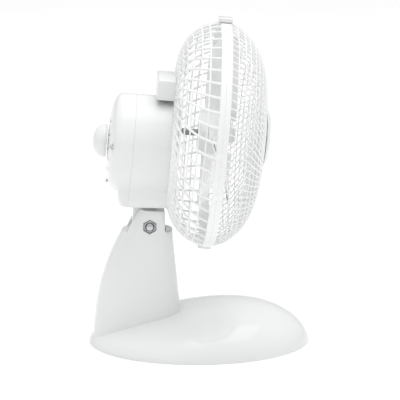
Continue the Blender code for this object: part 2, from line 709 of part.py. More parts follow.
def fasteners(frame, steel):
    up, forward = pivot_in_fan_frame()
    floor = -BARREL_DROP - SKIRT_DEPTH
    for side, label in ((-1, "left"), (1, "right")):
        screw(f"lug_screw_{label}", steel, 3.2 * MM, 1.8 * MM, 1.5 * MM, 9 * MM,
              parent=frame, location=(side * 15.5 * MM, floor - GAP, forward - 6 * MM),
              rotation=(math.pi / 2, 0, 0))
    for (x, y, seat), label in zip(cover_screw_places(), ("left", "right", "bottom")):
        screw(f"cover_screw_{label}", steel, 3.0 * MM, 1.6 * MM, 1.5 * MM, 16 * MM,
              parent=frame, location=(x, y, seat), rotation=(math.pi, 0, 0))


# ---------------------------------------------------------------- fan

def blade_mesh(turn):
    """One blade's middle surface, swept from the hub to the tip."""
    bm = bmesh.new()
    rows = 4
    columns = 4
    grid = []
    for row in range(rows + 1):
        share = row / rows
        radius = BLADE_ROOT + (BLADE_RADIUS - BLADE_ROOT) * share
        half_width = math.radians(26 + 22 * math.sin(math.pi * min(1, share + 0.18)))
        sweep = math.radians(-14) * share
        pitch = 0.034 - 0.004 * share
        line = []
        for column in range(columns + 1):
            across = 2 * column / columns - 1
            tip_round = 1 - 0.10 * share * across ** 4
            angle = turn + sweep + half_width * across
            camber = 0.004 * (1 - across ** 2)
            forward = 0.0035 + pitch / 2 * across + camber
            line.append(bm.verts.new((radius * tip_round * math.cos(angle),
                                      radius * tip_round * math.sin(angle), forward)))
        grid.append(line)
    for low, high in zip(grid, grid[1:]):
        for column in range(columns):
            bm.faces.new((low[column], high[column], high[column + 1], low[column + 1]))
    return to_mesh("blade", bm)


def fan(frame, steel, plastic):
    hub = [(4.3, 8), (20, 8), (23.5, 6.5), (25, 3), (25.5, -20), (23, -20), (22.4, 4.5),
           (9, 4.5), (9, -15), (4.3, -15)]
    profile = [(radius * MM, forward * MM) for radius, forward in hub]
    blades = turned("fan_blade", profile, plastic, 20, closed=True, parent=frame)
    for number in range(BLADE_COUNT):
        mesh = blade_mesh(2 * math.pi * number / BLADE_COUNT + math.pi / 2)
        tool = add_part(f"blade_{number + 1}", mesh, plastic, parent=frame)
        modifier = tool.modifiers.new("Solidify", "SOLIDIFY")
        modifier.thickness = 2 * MM
        modifier.offset = 0
        boolean(blades, cutter(tool), "UNION")
    nut = [(0, 24), (5, 23.4), (10, 21), (13, 17), (14, 12), (14, 8.3), (4.3, 8.3), (4.3, 16.5),
           (0, 16.5)]
    profile = [(radius * MM, forward * MM) for radius, forward in nut]
    turned("hub_nut", profile, plastic, 16, parent=frame)
    rod("fan_shaft", SHAFT_RADIUS, -0.1060, 0.0155, steel, 16, 0.5 * MM, parent=frame)
    ring("rotor_core", 4.3 * MM, 20 * MM, -0.0864, -0.0696, steel, 20, parent=frame)
    ring("thrust_washer_front", 4.3 * MM, 7 * MM, -0.0692, -0.0680, plastic, 16, parent=frame)
    ring("thrust_washer_rear", 4.3 * MM, 7 * MM, -0.0880, -0.0868, plastic, 16, parent=frame)


def build():
    clear_scene()
    white = make_material("white_plastic", (0.86, 0.87, 0.87), 0.22)
    blade_plastic = make_material("blade_plastic", (0.84, 0.85, 0.86), 0.30)
    black = make_material("black_plastic", (0.03, 0.03, 0.03), 0.5)
    rubber = make_material("rubber", (0.10, 0.10, 0.10), 0.85)
    steel = make_material("steel", (0.62, 0.62, 0.60), 0.35, 1.0)
    copper = make_material("copper", (0.72, 0.38, 0.18), 0.4, 1.0)

    base_shell(white)
    base_plate(white)
    base_furniture(rubber, steel, white)
    column(white)
    clevis_hardware(steel, black)

    frame = head_frame()
    screw_holes = tilt_lug(frame, white)
    bracket_holes = motor_shell(frame, white, screw_holes)
    rear_cover(frame, white)
    guards(frame, white)
    guard_fittings(frame, white)
    carry_grip(frame, white)
    motor(frame, steel, copper, white, bracket_holes)
    fasteners(frame, steel)
    fan(frame, steel, blade_plastic)


build()
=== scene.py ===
"""Looks of the desk fan: smooth moulded shells, fine guard lattices and glossy white plastic.

Everything is in metres in the CAD's frame: +Z up, the fan blows towards -Y. Pieces of the head
are drawn in the fan frame (x across, y up, z forward along the blade's axis, origin at the middle
of the guard's rim) and then carried over by HEAD.
"""
import json
import math

import bmesh
import bpy
from mathutils import Matrix, Vector


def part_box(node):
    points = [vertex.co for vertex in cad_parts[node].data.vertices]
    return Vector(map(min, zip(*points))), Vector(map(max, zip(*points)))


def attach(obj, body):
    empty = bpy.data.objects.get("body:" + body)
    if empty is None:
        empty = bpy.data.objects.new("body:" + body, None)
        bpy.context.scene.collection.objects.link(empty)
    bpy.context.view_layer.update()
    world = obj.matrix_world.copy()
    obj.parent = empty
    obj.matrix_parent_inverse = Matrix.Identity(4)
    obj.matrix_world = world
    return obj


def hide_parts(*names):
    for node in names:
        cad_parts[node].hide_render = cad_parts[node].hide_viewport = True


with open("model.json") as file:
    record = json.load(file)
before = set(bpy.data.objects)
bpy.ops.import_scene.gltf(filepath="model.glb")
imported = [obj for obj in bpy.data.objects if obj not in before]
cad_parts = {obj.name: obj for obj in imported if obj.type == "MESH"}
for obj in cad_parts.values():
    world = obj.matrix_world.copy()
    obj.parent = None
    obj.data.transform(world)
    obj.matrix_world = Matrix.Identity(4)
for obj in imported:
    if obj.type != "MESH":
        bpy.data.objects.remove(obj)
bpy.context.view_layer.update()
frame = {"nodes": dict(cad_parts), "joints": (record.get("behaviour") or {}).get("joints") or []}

MM = 0.001
JOINTS = {joint["name"]: joint for joint in frame["joints"]}
RIM_CENTRE = Vector(JOINTS["fan_spin"]["pos_m"])
FORWARD = Vector(JOINTS["fan_spin"]["axis"]).normalized()
PIVOT = Vector(JOINTS["head_tilt"]["pos_m"])
KNOB_CENTRE = Vector(JOINTS["speed_select"]["pos_m"])
ACROSS = Vector((1, 0, 0))
UP = FORWARD.cross(ACROSS)
HEAD = Matrix.Translation(RIM_CENTRE) @ Matrix((ACROSS, UP, FORWARD)).transposed().to_4x4()
TO_HEAD = HEAD.inverted()


# ---------------------------------------------------------------- mesh helpers

def add(name, mesh, material, smooth=40):
    """Put a mesh in the scene, smooth but for edges sharper than an angle in degrees."""
    obj = bpy.data.objects.new(name, mesh)
    bpy.context.scene.collection.objects.link(obj)
    mesh.materials.clear()
    mesh.materials.append(material)
    mesh.shade_smooth()
    mesh.set_sharp_from_angle(angle=math.radians(smooth))
    return obj


def finish(obj, body, slot, *nodes):
    """Give a piece its body and hide the CAD nodes that it stands for. The slot is not used."""
    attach(obj, body)
    if nodes:
        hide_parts(*nodes)
    return obj


def mesh_of(name, verts, faces, matrix=None):
    """A mesh whose faces all look outwards."""
    mesh = bpy.data.meshes.new(name)
    mesh.from_pydata(verts, [], faces)
    bm = bmesh.new()
    bm.from_mesh(mesh)
    bmesh.ops.recalc_face_normals(bm, faces=bm.faces)
    bm.to_mesh(mesh)
    bm.free()
    if matrix is not None:
        mesh.transform(matrix)
    return mesh


def skin(rows, closed_rows=True, cap_start=False, cap_end=False, loop=False):
    """Faces between rows that all have the same number of points."""
    verts = [point for row in rows for point in row]
    count = len(rows[0])
    faces = []
    bands = len(rows) if loop else len(rows) - 1
    last = count if closed_rows else count - 1
    for band in range(bands):
        low = band * count
        high = (band + 1) % len(rows) * count
        for index in range(last):
            after = (index + 1) % count
            faces.append((low + index, low + after, high + after, high + index))
    if cap_start:
        faces.append(tuple(range(count)))
    if cap_end:
        faces.append(tuple(range(len(verts) - count, len(verts))))
    return verts, faces


def lathe(name, profile, matrix=None, segments=96, loop=False):
    """Turn (radius, height) pairs about Z. A pair on the axis becomes one point."""
    verts = []
    rows = []
    for radius, height in profile:
        if radius == 0:
            rows.append([len(verts)] * segments)
            verts.append((0, 0, height))
            continue
        rows.append(list(range(len(verts), len(verts) + segments)))
        for index in range(segments):
            angle = 2 * math.pi * index / segments
            verts.append((radius * math.cos(angle), radius * math.sin(angle), height))
    faces = []
    pairs = list(zip(rows, rows[1:]))
    if loop:
        pairs.append((rows[-1], rows[0]))
    for low, high in pairs:
        for index in range(segments):
            after = (index + 1) % segments
            corners = [low[index], low[after], high[after], high[index]]
            face = tuple(dict.fromkeys(corners))
            if len(face) > 2:
                faces.append(face)
    return mesh_of(name, verts, faces, matrix)


def arc(centre, radius, start, end, count):
    """Points on an arc, angles in degrees."""
    points = []
    for index in range(count + 1):
        angle = math.radians(start + (end - start) * index / count)
        points.append((centre[0] + radius * math.cos(angle),
                       centre[1] + radius * math.sin(angle)))
    return points


def plate(name, outline, thickness, matrix=None, round_over=0.0):
    """A flat outline in XY, given a thickness evenly along Z, with rounded edges."""
    half = thickness / 2
    verts, faces = skin([[(x, y, -half) for x, y in outline], [(x, y, half) for x, y in outline]],
                        cap_start=True, cap_end=True)
    mesh = mesh_of(name, verts, faces)
    if round_over:
        bm = bmesh.new()
        bm.from_mesh(mesh)
        edges = [edge for edge in bm.edges if edge.calc_face_angle(0) > math.radians(50)]
        bmesh.ops.bevel(bm, geom=edges, offset=round_over, segments=3, profile=0.5,
                        affect="EDGES", clamp_overlap=True)
        bm.to_mesh(mesh)
        bm.free()
    if matrix is not None:
        mesh.transform(matrix)
    return mesh


def block(name, centre, size, round_over, matrix=None, segments=4):
    """A box with rounded edges."""
    bm = bmesh.new()
    bmesh.ops.create_cube(bm, size=1)
    bmesh.ops.scale(bm, vec=size, verts=bm.verts)
    bmesh.ops.translate(bm, vec=centre, verts=bm.verts)
    bmesh.ops.bevel(bm, geom=bm.edges[:], offset=round_over, segments=segments, profile=0.5,
                    affect="EDGES", clamp_overlap=True)
    mesh = bpy.data.meshes.new(name)
    bm.to_mesh(mesh)
    bm.free()
    if matrix is not None:
        mesh.transform(matrix)
    return mesh


def carve(obj, mesh, operation="DIFFERENCE"):
    """Cut a mesh out of an object, or join it on, and keep the result as the object's mesh."""
    tool = bpy.data.objects.new("tool", mesh)
    bpy.context.scene.collection.objects.link(tool)
    modifier = obj.modifiers.new("carve", "BOOLEAN")
    modifier.operation = operation
    modifier.object = tool
    bpy.context.view_layer.update()
    depsgraph = bpy.context.evaluated_depsgraph_get()
    result = bpy.data.meshes.new_from_object(obj.evaluated_get(depsgraph))
    obj.modifiers.clear()
    obj.data = result
    bpy.data.objects.remove(tool, do_unlink=True)
    return obj


def soften_edges(obj, width):
    """Round the sharp edges that carving left."""
    modifier = obj.modifiers.new("soften", "BEVEL")
    modifier.width = width
    modifier.segments = 2
    modifier.limit_method = "ANGLE"
    modifier.angle_limit = math.radians(50)
    bpy.context.view_layer.update()
    depsgraph = bpy.context.evaluated_depsgraph_get()
    result = bpy.data.meshes.new_from_object(obj.evaluated_get(depsgraph))
    obj.modifiers.clear()
    obj.data = result
    obj.data.shade_smooth()
    obj.data.set_sharp_from_angle(angle=math.radians(40))


def even_path(points, step):
    """Points about one step apart along a polyline."""
    lengths = [0.0]
    for start, end in zip(points, points[1:]):
        lengths.append(lengths[-1] + math.dist(start, end))
    count = max(2, round(lengths[-1] / step))
    path = []
    index = 0
    for number in range(count + 1):
        along = lengths[-1] * number / count
        while index < len(lengths) - 2 and lengths[index + 1] < along:
            index += 1
        share = (along - lengths[index]) / (lengths[index + 1] - lengths[index])
        path.append(tuple(a + (b - a) * share for a, b in zip(points[index], points[index + 1])))
    return path


def bar_section(side, normal, width, depth):
    """Eight corners of a bar's section with its edges taken off."""
    soft = 0.3 * min(width, depth)
    half_width = width / 2
    half_depth = depth / 2
    corners = [(half_width, half_depth - soft), (half_width - soft, half_depth),
               (soft - half_width, half_depth), (-half_width, half_depth - soft),
               (-half_width, soft - half_depth), (soft - half_width, -half_depth),
               (half_width - soft, -half_depth), (half_width, soft - half_depth)]
    return [side * across + normal * out for across, out in corners]


class Lattice:
    """Bars gathered into one mesh."""

    def __init__(self):
        self.verts = []
        self.faces = []

    def take(self, rows, loop):
        verts, faces = skin(rows, cap_start=not loop, cap_end=not loop, loop=loop)
        start = len(self.verts)
        self.verts += verts
        self.faces += [tuple(start + index for index in face) for face in faces]

    def rib(self, path, normals, width, depth):
        rows = []
        for index, (point, normal) in enumerate(zip(path, normals)):
            before = path[max(index - 1, 0)]
            after = path[min(index + 1, len(path) - 1)]
            side = (after - before).cross(normal).normalized()
            corners = bar_section(side, normal, width, depth)
            rows.append([tuple(point + corner) for corner in corners])
        self.take(rows, loop=False)

    def ring(self, forward, radius, slope, width, depth, segments=180):
        """A ring whose section leans with the guard's surface: slope is its (radial, forward) normal."""
        rows = []
        for index in range(segments):
            angle = 2 * math.pi * index / segments
            radial = Vector((math.cos(angle), math.sin(angle), 0))
            normal = radial * slope[0] + Vector((0, 0, slope[1]))
            side = radial * -slope[1] + Vector((0, 0, slope[0]))
            centre = radial * radius + Vector((0, 0, forward))
            rows.append([tuple(centre + corner)
                         for corner in bar_section(side, normal, width, depth)])
        self.take(rows, loop=True)

    def mesh(self, name):
        return mesh_of(name, self.verts, self.faces, HEAD)


# ---------------------------------------------------------------- materials

def new_material(name):
    material = bpy.data.materials.new(name)
    material.use_nodes = True
    tree = material.node_tree
    return material, tree, tree.nodes["Principled BSDF"]


def noise(tree, scale, detail=2.0, stretch=(1, 1, 1)):
    """Noise in the object's own coordinates."""
    place = tree.nodes.new("ShaderNodeTexCoord")
    mapping = tree.nodes.new("ShaderNodeMapping")
    mapping.inputs["Scale"].default_value = stretch
    texture = tree.nodes.new("ShaderNodeTexNoise")
    texture.inputs["Scale"].default_value = scale
    texture.inputs["Detail"].default_value = detail
    tree.links.new(place.outputs["Object"], mapping.inputs["Vector"])
    tree.links.new(mapping.outputs["Vector"], texture.inputs["Vector"])
    return texture.outputs["Fac"]


def remap(tree, value, low, high):
    """Stretch the middle of a texture's range to low and high."""
    node = tree.nodes.new("ShaderNodeMapRange")
    node.inputs["From Min"].default_value = 0.3
    node.inputs["From Max"].default_value = 0.7
    node.inputs["To Min"].default_value = low
    node.inputs["To Max"].default_value = high
    tree.links.new(value, node.inputs["Value"])
    return node.outputs["Result"]


def tint(tree, value, dark, light, target):
    """Colour that wanders between two close shades."""
    mix = tree.nodes.new("ShaderNodeMix")
    mix.data_type = "RGBA"
    mix.inputs["A"].default_value = (*dark, 1)
    mix.inputs["B"].default_value = (*light, 1)
    tree.links.new(remap(tree, value, 0, 1), mix.inputs["Factor"])
    tree.links.new(mix.outputs["Result"], target)


def bump(tree, height, shader, strength, distance):
    """Raise the surface by a height that is given in metres."""
    node = tree.nodes.new("ShaderNodeBump")
    node.inputs["Strength"].default_value = strength
    node.inputs["Distance"].default_value = distance
    tree.links.new(height, node.inputs["Height"])
    tree.links.new(node.outputs["Normal"], shader.inputs["Normal"])


def moulded_plastic(name, colour, roughness, grain, depth, spread=0.012):
    """Injection-moulded plastic: faint shade drift, faint gloss drift and a fine orange peel."""
    material, tree, shader = new_material(name)
    dark = [max(0.0, channel - spread) for channel in colour]
    light = [min(1.0, channel + spread) for channel in colour]
    tint(tree, noise(tree, 9), dark, light, shader.inputs["Base Color"])
    gloss = remap(tree, noise(tree, 55, 3), roughness * 0.8, roughness * 1.25)
    tree.links.new(gloss, shader.inputs["Roughness"])
    shader.inputs["IOR"].default_value = 1.5
    bump(tree, noise(tree, grain, 3), shader, 0.35, depth)
    return material


def metal(name, colour, roughness, stretch=(1, 1, 1), grain=900):
    """Plated or ground metal with fine marks."""
    material, tree, shader = new_material(name)
    dark = [0.82 * channel for channel in colour]
    tint(tree, noise(tree, 60, 4, stretch), dark, colour, shader.inputs["Base Color"])
    gloss = remap(tree, noise(tree, grain, 3, stretch), roughness * 0.7, roughness * 1.4)
    tree.links.new(gloss, shader.inputs["Roughness"])
    shader.inputs["Metallic"].default_value = 1.0
    bump(tree, noise(tree, grain, 3, stretch), shader, 0.3, 0.00004)
    return material


def banded(name, dark, light, roughness, metallic, scale, direction):
    """Fine parallel lines, for the core's laminations and the windings' wires."""
    material, tree, shader = new_material(name)
    place = tree.nodes.new("ShaderNodeTexCoord")
    wave = tree.nodes.new("ShaderNodeTexWave")
    wave.bands_direction = direction
    wave.inputs["Scale"].default_value = scale
    wave.inputs["Distortion"].default_value = 1.5
    tree.links.new(place.outputs["Object"], wave.inputs["Vector"])
    tint(tree, wave.outputs["Fac"], dark, light, shader.inputs["Base Color"])
    gloss = remap(tree, noise(tree, 200, 3), roughness * 0.8, roughness * 1.2)
    tree.links.new(gloss, shader.inputs["Roughness"])
    shader.inputs["Metallic"].default_value = metallic
    bump(tree, wave.outputs["Fac"], shader, 0.5, 0.0002)
    return material


def floor_material():
    """A pale sheet that is lit from all round, so that only a faint shade stays under the base."""
    material, tree, shader = new_material("studio_floor")
    tint(tree, noise(tree, 3), (0.93, 0.93, 0.93), (0.95, 0.95, 0.95), shader.inputs["Base Color"])
    shader.inputs["Roughness"].default_value = 0.15
    shader.inputs["Emission Color"].default_value = (1, 1, 1, 1)
    shader.inputs["Emission Strength"].default_value = 0.12
    return material


WHITE = moulded_plastic("white_plastic_gloss", (0.83, 0.84, 0.84), 0.16, 700, 0.00003)
BASE_WHITE = moulded_plastic("white_plastic_polished", (0.83, 0.84, 0.84), 0.07, 260, 0.00001)
GUARD_WHITE = moulded_plastic("white_plastic_guard", (0.91, 0.915, 0.915), 0.28, 900, 0.00004)
# Blade and hub white is paler than the housing's white: painted light that makes up for the shade the
# blades get inside the guard.
BLADE_WHITE_PAINTED_LIGHT = moulded_plastic("white_plastic_blade_painted_light", (0.94, 0.95, 0.95), 0.22, 500, 0.00003)
SATIN_WHITE = moulded_plastic("white_plastic_satin", (0.80, 0.81, 0.81), 0.45, 1200, 0.00006)
BLACK = moulded_plastic("black_plastic_fine", (0.03, 0.03, 0.03), 0.5, 1500, 0.00006, 0.006)
RUBBER = moulded_plastic("rubber_fine", (0.10, 0.10, 0.10), 0.85, 1800, 0.00015, 0.015)
STEEL = metal("zinc_plated_steel", (0.60, 0.61, 0.62), 0.32)
SHAFT_STEEL = metal("ground_steel", (0.30, 0.30, 0.31), 0.30, (1, 0.05, 1))
BRACKET = metal("cast_bracket", (0.55, 0.55, 0.54), 0.5)
CORE = banded("laminated_core", (0.16, 0.16, 0.17), (0.34, 0.34, 0.35), 0.5, 0.9, 900, "Y")
COPPER = banded("copper_winding", (0.45, 0.18, 0.07), (0.80, 0.40, 0.20), 0.35, 1.0, 700, "Z")
BRONZE = metal("sintered_bronze", (0.60, 0.40, 0.22), 0.5)


# ---------------------------------------------------------------- stand

def smoothstep(value):
    value = min(max(value, 0.0), 1.0)
    return value * value * (3 - 2 * value)


BASE_LOW, BASE_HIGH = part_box("base_shell")
BASE_HALF_WIDTH = BASE_HIGH.x
BASE_HALF_LENGTH = BASE_HIGH.y
BASE_BOTTOM = BASE_LOW.z
BASE_CROWN_FRONT = 54 * MM
BASE_CROWN_REAR = 32 * MM


def base_height(x, y):
    """Height of the dome over its rim, as in the CAD."""
    rho = math.hypot(x / BASE_HALF_WIDTH, y / BASE_HALF_LENGTH)
    rise = smoothstep((0.115 - y) / 0.225)
    crown = BASE_CROWN_REAR + (BASE_CROWN_FRONT - BASE_CROWN_REAR) * rise
    return crown * max(0.0, 1 - rho ** 2.4) ** (1 / 1.8)


def make_base():
    """The dome, its rounded rim and the inside of its wall."""
    around = 192
    rings = 48
    wall = 2.5 * MM
    inner_edge = 1 - wall / BASE_HALF_WIDTH
    rows = []

    def row(level, z_of):
        points = []
        for index in range(around):
            angle = 2 * math.pi * index / around
            x = level * BASE_HALF_WIDTH * math.cos(angle)
            y = level * BASE_HALF_LENGTH * math.sin(angle)
            points.append((x, y, z_of(x, y)))
        return points

    for ring in range(rings, 0, -1):
        level = math.sin(math.pi / 2 * ring / rings)
        inner = inner_edge * level
        rows.append(row(inner, lambda x, y: BASE_BOTTOM + max(0.0, base_height(x, y) - wall)))
    rows.reverse()
    for share in (0.15, 0.5, 0.85):
        level = inner_edge + (1 - inner_edge) * share
        rows.append(row(level, lambda x, y: BASE_BOTTOM))
    for ring in range(rings, 0, -1):
        level = math.sin(math.pi / 2 * ring / rings)
        rows.append(row(level, lambda x, y: BASE_BOTTOM + base_height(x, y)))
    verts, faces = skin(rows, cap_start=True, cap_end=True)
    base = add("base_dome", mesh_of("base_dome", verts, faces), BASE_WHITE, 60)
    finish(base, "stand", "white_plastic", "base_shell")


def column_section(height, inset=0.0, count=128):
    """One level of the column: a long oval with full sides, as in the CAD."""
    rise = max(0.0, (height - 0.010) / 0.127)
    flare = max(0.0, 1 - height / 0.040) ** 2
    rear = 0.1255 - 0.033 * rise ** 2.2 + 0.0035 * flare
    front = 0.0235 + 0.0085 * (height - 0.048) / 0.092
    half_width = 0.029 - 0.006 * (height - 0.020) / 0.120 - inset
    middle = (rear + front) / 2
    half_length = (rear - front) / 2 - inset
    power = 2 / 2.8
    section = []
    for index in range(count):
        angle = 2 * math.pi * (index + 0.5) / count
        cosine = math.cos(angle)
        sine = math.sin(angle)
        across = math.copysign(abs(cosine) ** power, cosine)
        along = math.copysign(abs(sine) ** power, sine)
        section.append((half_width * across, middle + half_length * along, height))
    return section


def column_side_view():
    """Outline of the column seen from the side, with its shoulders and clevis neck, as (y, z)."""
    shoulder = 138 * MM
    outline = [(0.140, 0.0), (0.140, shoulder), (0.0885, shoulder)]
    outline += arc((0.0875, 0.1405), 2.5 * MM, 270, 200, 4)
    outline += [(0.0832, 0.1440), (0.0800, 0.1500), (0.0752, 0.1590)]
    outline += arc((0.0684, 0.1607), 5.3 * MM, 15, 88, 8)
    outline += arc((0.0428, 0.1625), 1.8 * MM, 95, 180, 5)
    outline += arc((0.0385, 0.1405), 2.5 * MM, 0, -90, 4)
    outline += [(0.0, shoulder), (0.0, 0.0)]
    return outline


def make_column():
    """The column, its neck with the two clevis ears, the hexagon seats and the slot."""
    foot = 8 * MM
    above_the_ears = 170 * MM
    steps = 36
    levels = [foot + (above_the_ears - foot) * step / steps for step in range(steps + 1)]
    verts, faces = skin([column_section(level) for level in levels], cap_start=True, cap_end=True)
    column = add("column_body", mesh_of("column_body", verts, faces), WHITE, 50)
    yz_plane = Matrix(((0, 0, 1, 0), (1, 0, 0, 0), (0, 1, 0, 0), (0, 0, 0, 1)))
    carve(column, plate("side_view", column_side_view(), 0.200, yz_plane), "INTERSECT")
    carve(column, block("slot_floor", (0, 0.0600, 0.1380), (0.026, 0.0410, 0.010), 1 * MM))
    carve(column, block("slot", (0, 0.0660, 0.1610), (0.026, 0.0600, 0.045), 0.3 * MM))
    across = Matrix.Translation(PIVOT) @ Matrix.Rotation(math.pi / 2, 4, "Y")
    for side in (-1, 1):
        seat = Matrix.Translation((side * 0.0245, 0, 0)) @ across
        corners = arc((0, 0), 8.9 * MM, 0, 300, 5)
        carve(column, plate("seat", corners, 14 * MM, seat))
    carve(column, lathe("bolt_hole", [(0, 0.05), (4.3 * MM, 0.05), (4.3 * MM, -0.05), (0, -0.05)],
                        across, 32))
    soften_edges(column, 0.8 * MM)
    finish(column, "stand", "white_plastic", "column")


def pan_head(name, radius, height, matrix):
    """A screw head with a cross recess and a short shank: its seat is at z = 0."""
    profile = [(0, height)]
    profile += [(radius * math.sin(math.radians(a)), height * (0.35 + 0.65 * math.cos(math.radians(a))))
                for a in (20, 40, 60, 75, 90)]
    profile += [(radius, 0), (0.5 * radius, 0), (0.5 * radius, -2 * height), (0, -2 * height)]
    head = add(name, lathe(name, profile, None, 40), STEEL, 35)
    for turn in (0, 90):
        slot = block("slot", (0, 0, height), (1.1 * radius, 0.26 * radius, 0.9 * height), 0.02 * MM,
                     Matrix.Rotation(math.radians(turn + 30), 4, "Z"), 1)
        carve(head, slot)
    head.data.transform(matrix)
    return head


def make_base_fittings():
    """The four rubber feet and the four screws under the base."""
    over = Matrix.Rotation(math.pi, 4, "X")
    for label in ("front_left", "front_right", "rear_left", "rear_right"):
        low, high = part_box(f"foot_{label}")
        radius = (high.x - low.x) / 2
        height = high.z - low.z
        soft = 0.4 * height
        profile = [(0, height), (radius, height), (radius, soft), (radius - soft, 0),
                   (0.55 * radius, 0), (0.5 * radius, 0.3 * height), (0, 0.3 * height)]
        middle = Matrix.Translation(((low.x + high.x) / 2, (low.y + high.y) / 2, low.z))
        foot = add(f"pad_{label}", lathe("pad", profile, middle, 48), RUBBER, 35)
        finish(foot, "stand", "rubber", f"foot_{label}")

        low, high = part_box(f"base_screw_{label}")
        middle = Matrix.Translation(((low.x + high.x) / 2, (low.y + high.y) / 2, 1.5 * MM))
        screw = pan_head(f"underside_screw_{label}", (high.x - low.x) / 2, 0.9 * MM, middle @ over)
        finish(screw, "stand", "steel", f"base_screw_{label}")


def make_clevis_bolt():
    """Hexagon nut with chamfered corners, the bolt's threaded end and its round head."""
    across = Matrix.Translation(PIVOT) @ Matrix.Rotation(math.pi / 2, 4, "Y")
    nut = add("clevis_nut", lathe("clevis_nut", [(0, -17.9 * MM), (8.2 * MM, -17.9 * MM),
                                                 (8.2 * MM, -20.6 * MM), (6.2 * MM, -22.0 * MM),
                                                 (0, -22.0 * MM)], None, 96), STEEL, 30)
    hexagon = plate("hexagon", arc((0, 0), 7.5 * MM, 0, 300, 5), 20 * MM,
                    Matrix.Translation((0, 0, -20 * MM)))
    carve(nut, hexagon, "INTERSECT")
    bore = [(0, 0), (4.25 * MM, 0), (4.25 * MM, -20.6 * MM), (5.6 * MM, -22.0 * MM),
            (5.6 * MM, -0.03), (0, -0.03)]
    carve(nut, lathe("bore", bore, None, 48))
    nut.data.transform(across)
    nut.data.set_sharp_from_angle(angle=math.radians(25))
    finish(nut, "stand", "steel", "tilt_nut")

    profile = [(0, 23.0 * MM), (3.0 * MM, 22.7 * MM), (5.2 * MM, 21.7 * MM), (6.6 * MM, 20.3 * MM),
               (7.3 * MM, 19.0 * MM), (7.3 * MM, 18.2 * MM), (4.0 * MM, 18.2 * MM),
               (4.0 * MM, -16.0 * MM)]
    height = -16.0
    while height > -23.4:
        profile += [(3.45 * MM, (height - 0.3) * MM), (4.0 * MM, (height - 0.6) * MM)]
        height -= 0.6
    profile += [(3.1 * MM, -24.2 * MM), (0, -24.2 * MM)]
    bolt = add("clevis_bolt", lathe("clevis_bolt", profile, across, 48), STEEL, 30)
    finish(bolt, "stand", "steel", "tilt_bolt")


# ---------------------------------------------------------------- housing

RIM_RADIUS = 132 * MM
REAR_DEPTH = -52 * MM               # the rear guard's flat middle, behind the rim
REAR_FLAT = 1.6                     # exponents of the rear guard's superellipse
REAR_ROUND = 5.8
BARREL_RADIUS = 58 * MM
BARREL_DROP = -(TO_HEAD @ KNOB_CENTRE).y
SKIRT_DEPTH = 70.4 * MM
SKIRT_HALF_WIDTH = 35 * MM
SKIRT_DEPTH_REAR = 73.0 * MM
BARREL_FRONT = -51.8 * MM
PIVOT_IN_HEAD = TO_HEAD @ PIVOT


def housing_section(forward, radius, depth, count=192):
    """The round barrel with its squarer skirt, joined by a small fillet."""
    section = []
    for index in range(count):
        angle = 2 * math.pi * (index + 0.5) / count
        across = math.sin(angle)
        down = math.cos(angle)
        reach = radius
        if down > 0 and depth > radius:
            skirt = ((abs(across) / SKIRT_HALF_WIDTH) ** 8 + (down / depth) ** 8) ** (-1 / 8)
            reach = (radius ** 40 + skirt ** 40) ** (1 / 40)
        section.append((reach * across, -BARREL_DROP - reach * down, forward))
    return section


def skirt_depth(forward):
    """The flat bottom runs a little lower towards the rear."""
    share = (BARREL_FRONT - forward) / (BARREL_FRONT + 98.5 * MM)
    return SKIRT_DEPTH + (SKIRT_DEPTH_REAR - SKIRT_DEPTH) * min(max(share, 0.0), 1.0)


def guard_back(radius):
    """Where the rear guard's surface lies at a distance from the blade's axis."""
    return REAR_DEPTH * max(0.0, 1 - (radius / RIM_RADIUS) ** REAR_ROUND) ** (1 / REAR_FLAT)


def fit_to_guard(section, seam):
    """Lean the shell's front forward where the guard curves away from it."""
    fitted = []
    for x, y, forward in section:
        share = (forward - seam) / (BARREL_FRONT - seam)
        lead = max(0.0, guard_back(math.hypot(x, y)) - BARREL_FRONT)
        fitted.append((x, y, forward + lead * share ** 3))
    return fitted


def make_motor_shell():
    """Front half of the housing, from the seam to the face against the guard."""
    seam = -95.95 * MM
    wall = 2.5 * MM
    edge = 0.15 * MM

    def row(forward, inset):
        section = housing_section(forward, BARREL_RADIUS - inset, skirt_depth(forward) - inset)
        return fit_to_guard(section, seam)

    rows = [row(seam, wall), row(seam, edge), row(seam + edge, 0)]
    for step in range(1, 13):
        rows.append(row(seam + edge + (BARREL_FRONT - 1.2 * MM - seam - edge) * step / 12, 0))
    for angle in (30, 60, 90):
        turn = math.radians(angle)
        rows.append(row(BARREL_FRONT - 1.2 * MM * (1 - math.sin(turn)),
                        1.2 * MM * (1 - math.cos(turn))))
    rows.append(row(BARREL_FRONT, 18 * MM))
    rows.append(row(BARREL_FRONT - wall, 18 * MM))
    rows.append(row(BARREL_FRONT - wall, 4 * MM))
    rows.append(row(BARREL_FRONT - 6 * MM, wall))
    verts, faces = skin(rows, loop=True)
    shell = add("housing_front", mesh_of("housing_front", verts, faces, HEAD), WHITE, 40)

    profile = [(41 * MM, -54.4 * MM), (41 * MM, -53.2 * MM), (25.5 * MM, -53.0 * MM),
               (24.3 * MM, -52.0 * MM), (24.3 * MM, -42.3 * MM), (23.5 * MM, -41.5 * MM),
               (21 * MM, -41.5 * MM), (21 * MM, -60 * MM), (26 * MM, -60 * MM), (26 * MM, -56 * MM)]
    nose = add("housing_nose", lathe("housing_nose", profile, HEAD, 96, loop=True), WHITE, 35)
    finish(nose, "head", "white_plastic")
    finish(shell, "head", "white_plastic", "motor_shell")


COVER_END = -125.2 * MM


